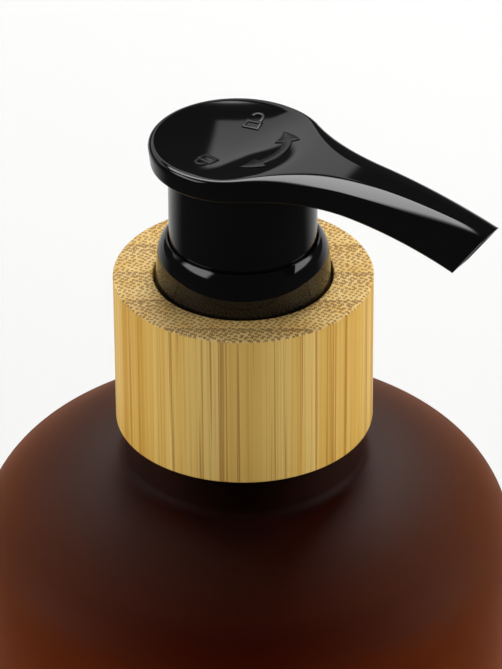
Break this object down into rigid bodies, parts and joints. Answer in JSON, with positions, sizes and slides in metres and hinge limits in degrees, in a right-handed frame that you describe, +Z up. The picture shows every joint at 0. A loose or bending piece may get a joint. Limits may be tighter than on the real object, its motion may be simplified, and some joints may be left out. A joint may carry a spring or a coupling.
{
  "type": "soap pump dispenser",
  "caption": "Round frosted amber glass soap bottle with a bamboo-sleeved screw closure and a black lock-down lotion pump with a curved spout.",
  "frame": {"origin": "centre of the base, on the bottle's axis, at the surface it stands on", "axes": "+Z up along the bottle's axis, +X along the spout as the head stands when it is open, +Y to the left of the spout seen from behind the head"},
  "size_m": [0.0793, 0.078, 0.1891],
  "materials": {
    "frosted_amber_glass": "frosted, satin",
    "bamboo": "fine sanded, matt lacquer",
    "black_gloss_plastic": "gloss",
    "natural_plastic": "satin, milky",
    "white_plastic": "satin",
    "spring_steel": "drawn wire",
    "ball_steel": "polished",
    "gasket_foam": "matt"
  },
  "bodies": {
    "bottle": {"bottle": "frosted_amber_glass"},
    "pump_body": {"lock_collar": "black_gloss_plastic", "neck_gasket": "gasket_foam", "pump_housing": "natural_plastic", "dip_tube": "natural_plastic", "ball_cage": "white_plastic", "return_spring": "spring_steel"},
    "closure": {"screw_cap": "black_gloss_plastic", "bamboo_sleeve": "bamboo"},
    "piston": {"piston": "white_plastic"},
    "head": {"actuator": "black_gloss_plastic", "stem": "white_plastic", "stem_plug": "white_plastic"},
    "ball": {"inlet_ball": "ball_steel"}
  },
  "joints": [
    {"name": "pump_rise", "type": "slide", "parent": "bottle", "child": "pump_body", "axis": [0, 0, 1], "range_m": [0, 0.00635]},
    {"name": "cap_turn", "type": "hinge", "parent": "pump_body", "child": "closure", "pos_m": [0, 0, 0.155], "axis": [0, 0, 1], "range_deg": [0, 540]},
    {"name": "press", "type": "slide", "parent": "pump_body", "child": "piston", "axis": [0, 0, -1], "range_m": [0, 0.0095], "stiffness_N_per_m": 700, "springref_m": -0.01, "deforming": ["return_spring"]},
    {"name": "lock_turn", "type": "hinge", "parent": "piston", "child": "head", "pos_m": [0, 0, 0.17], "axis": [0, 0, 1], "range_deg": [-90, 0]},
    {"name": "ball_lift", "type": "slide", "parent": "pump_body", "child": "ball", "axis": [0, 0, 1], "range_m": [0, 0.0015]}
  ],
  "couplings": [
    {"joint": "cap_turn", "follows": "pump_rise", "rad_per_m": 1484.3}
  ]
}
